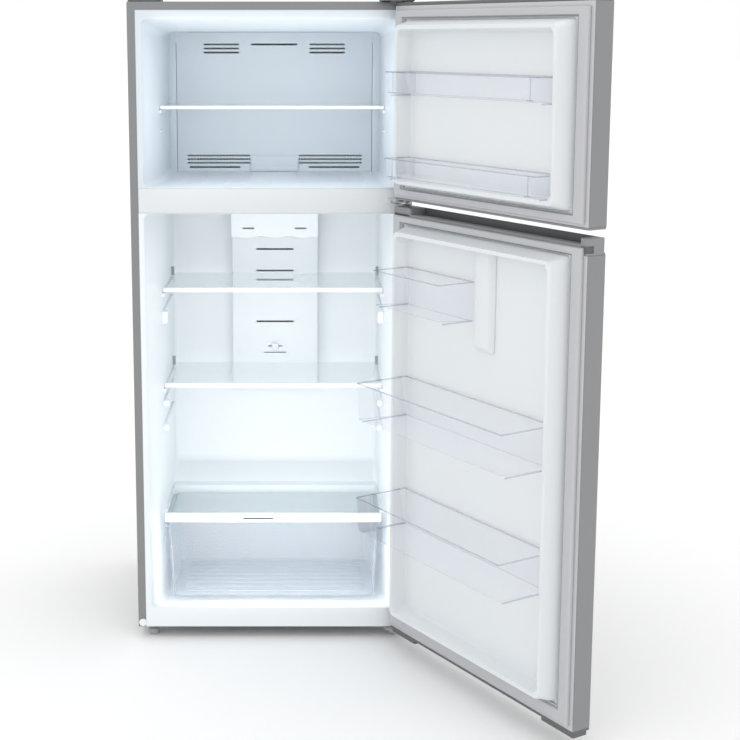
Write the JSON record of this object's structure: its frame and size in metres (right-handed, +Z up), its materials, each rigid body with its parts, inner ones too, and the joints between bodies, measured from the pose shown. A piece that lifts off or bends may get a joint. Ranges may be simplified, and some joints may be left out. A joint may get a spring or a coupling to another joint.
{
  "type": "top freezer refrigerator",
  "caption": "Household refrigerator with a separate freezer on top, two hinged doors open to the right, glass shelves, door bins and a clear crisper drawer.",
  "frame": {"origin": "on the floor, under the middle of the box around the whole object with both doors at their rest angle, open 121.6 degrees", "axes": "+X to the hinge side, +Y to the back of the cabinet, +Z up"},
  "size_m": [1.0646, 1.2372, 1.659],
  "materials": {
    "painted_steel": "satin grey coated steel with a fine brushed look",
    "insulation_foam": "cream polyurethane foam",
    "white_liner": "soft-gloss white vacuum-formed plastic",
    "white_panel": "satin white moulded plastic",
    "lamp_diffuser": "milky white diffuser",
    "circuit_board": "white lamp board",
    "shelf_trim": "white moulded trim",
    "shelf_glass": "clear tempered glass with a faint green edge",
    "clear_plastic": "clear styrene with a faint violet tint",
    "gasket_vinyl": "soft grey magnetic door seal",
    "grey_cap": "satin grey plastic",
    "dark_cap": "satin dark grey plastic",
    "zinc_plate": "zinc plated steel",
    "galvanised_steel": "galvanised sheet steel",
    "grey_plastic": "grey moulded plastic",
    "black_plastic": "black moulded plastic",
    "black_enamel": "black enamelled steel",
    "bare_aluminium": "bare aluminium",
    "condenser_steel": "black painted steel tube"
  },
  "bodies": {
    "cabinet": {"cabinet_shell": "painted_steel", "foam_insulation": "insulation_foam", "freezer_liner": "white_liner", "fridge_liner": "white_liner", "mullion_cover": "white_liner", "evaporator_cover": "white_panel", "air_duct_cover": "white_panel", "hinge_hole_plug": "white_panel", "drain_pan": "white_panel", "lamp_cover": "lamp_diffuser", "lamp_board": "circuit_board", "top_hinge_cover": "dark_cap", "hinge_blank_cover": "dark_cap", "top_hinge": "zinc_plate", "middle_hinge": "zinc_plate", "bottom_hinge": "zinc_plate", "back_panel": "galvanised_steel", "base_pan": "galvanised_steel", "machine_cover": "galvanised_steel", "fan_motor": "black_plastic", "cord_gland": "black_plastic", "compressor": "black_enamel", "evaporator_coil": "bare_aluminium", "defrost_heater": "bare_aluminium", "condenser_coil": "condenser_steel"},
    "freezer_door": {"freezer_door_skin": "painted_steel", "freezer_door_foam": "insulation_foam", "freezer_door_liner": "white_liner", "freezer_door_gasket": "gasket_vinyl", "freezer_door_top_cap": "dark_cap", "freezer_door_base_cap": "grey_cap"},
    "fridge_door": {"fridge_door_skin": "painted_steel", "fridge_door_foam": "insulation_foam", "fridge_door_liner": "white_liner", "fridge_door_gasket": "gasket_vinyl", "fridge_door_grip_cap": "grey_cap", "fridge_door_base_cap": "dark_cap"},
    "freezer_bin_upper": {"freezer_bin_upper": "clear_plastic"},
    "freezer_bin_lower": {"freezer_bin_lower": "clear_plastic"},
    "fridge_bin_small": {"fridge_bin_small": "clear_plastic"},
    "fridge_bin_middle": {"fridge_bin_middle": "clear_plastic"},
    "fridge_bin_lower": {"fridge_bin_lower": "clear_plastic"},
    "freezer_shelf": {"freezer_shelf_glass": "shelf_glass", "freezer_shelf_trim": "shelf_trim"},
    "upper_shelf": {"upper_shelf_glass": "shelf_glass", "upper_shelf_trim": "shelf_trim"},
    "lower_shelf": {"lower_shelf_glass": "shelf_glass", "lower_shelf_trim": "shelf_trim"},
    "crisper_cover": {"crisper_cover_glass": "shelf_glass", "crisper_cover_trim": "shelf_trim"},
    "crisper_drawer": {"crisper_drawer": "clear_plastic"},
    "temperature_slider": {"temperature_slider": "white_panel"},
    "evaporator_fan": {"evaporator_fan": "white_panel"},
    "rear_roller_left": {"rear_roller_left": "black_plastic"},
    "rear_roller_right": {"rear_roller_right": "black_plastic"},
    "levelling_leg_left": {"levelling_leg_left": "grey_plastic"},
    "levelling_leg_right": {"levelling_leg_right": "grey_plastic"}
  },
  "joints": [
    {"name": "freezer_door_hinge", "type": "hinge", "parent": "cabinet", "child": "freezer_door", "pos_m": [0.15066, -0.00752, 1.395], "axis": [0, 0, 1], "range_deg": [-121.6, 8.4]},
    {"name": "fridge_door_hinge", "type": "hinge", "parent": "cabinet", "child": "fridge_door", "pos_m": [0.15066, -0.00752, 0.59], "axis": [0, 0, 1], "range_deg": [-121.6, 8.4]},
    {"name": "freezer_bin_upper_lift", "type": "slide", "parent": "freezer_door", "child": "freezer_bin_upper", "axis": [0, 0, 1], "range_m": [0, 0.04]},
    {"name": "freezer_bin_lower_lift", "type": "slide", "parent": "freezer_door", "child": "freezer_bin_lower", "axis": [0, 0, 1], "range_m": [0, 0.04]},
    {"name": "fridge_bin_small_lift", "type": "slide", "parent": "fridge_door", "child": "fridge_bin_small", "axis": [0, 0, 1], "range_m": [0, 0.04]},
    {"name": "fridge_bin_middle_lift", "type": "slide", "parent": "fridge_door", "child": "fridge_bin_middle", "axis": [0, 0, 1], "range_m": [0, 0.04]},
    {"name": "fridge_bin_lower_lift", "type": "slide", "parent": "fridge_door", "child": "fridge_bin_lower", "axis": [0, 0, 1], "range_m": [0, 0.04]},
    {"name": "freezer_shelf_slide", "type": "slide", "parent": "cabinet", "child": "freezer_shelf", "axis": [0, -1, 0], "range_m": [0, 0.11]},
    {"name": "upper_shelf_slide", "type": "slide", "parent": "cabinet", "child": "upper_shelf", "axis": [0, -1, 0], "range_m": [0, 0.11]},
    {"name": "lower_shelf_slide", "type": "slide", "parent": "cabinet", "child": "lower_shelf", "axis": [0, -1, 0], "range_m": [0, 0.11]},
    {"name": "crisper_cover_slide", "type": "slide", "parent": "cabinet", "child": "crisper_cover", "axis": [0, -1, 0], "range_m": [0, 0.1]},
    {"name": "crisper_drawer_slide", "type": "slide", "parent": "cabinet", "child": "crisper_drawer", "axis": [0, -1, 0], "range_m": [0, 0.24]},
    {"name": "temperature_slide", "type": "slide", "parent": "cabinet", "child": "temperature_slider", "axis": [1, 0, 0], "range_m": [-0.015, 0.015]},
    {"name": "evaporator_fan_spin", "type": "hinge", "parent": "cabinet", "child": "evaporator_fan", "pos_m": [-0.18134, 0.48298, 1.48], "axis": [0, 1, 0], "continuous": true},
    {"name": "rear_roller_left_spin", "type": "hinge", "parent": "cabinet", "child": "rear_roller_left", "pos_m": [-0.48134, 0.56698, 0.0145], "axis": [1, 0, 0], "continuous": true},
    {"name": "rear_roller_right_spin", "type": "hinge", "parent": "cabinet", "child": "rear_roller_right", "pos_m": [0.11866, 0.56698, 0.0145], "axis": [1, 0, 0], "continuous": true},
    {"name": "levelling_leg_left_turn", "type": "hinge", "parent": "cabinet", "child": "levelling_leg_left", "pos_m": [-0.49534, 0.05698, 0.03], "axis": [0, 0, 1], "continuous": true},
    {"name": "levelling_leg_right_turn", "type": "hinge", "parent": "cabinet", "child": "levelling_leg_right", "pos_m": [0.13266, 0.05698, 0.03], "axis": [0, 0, 1], "continuous": true}
  ]
}
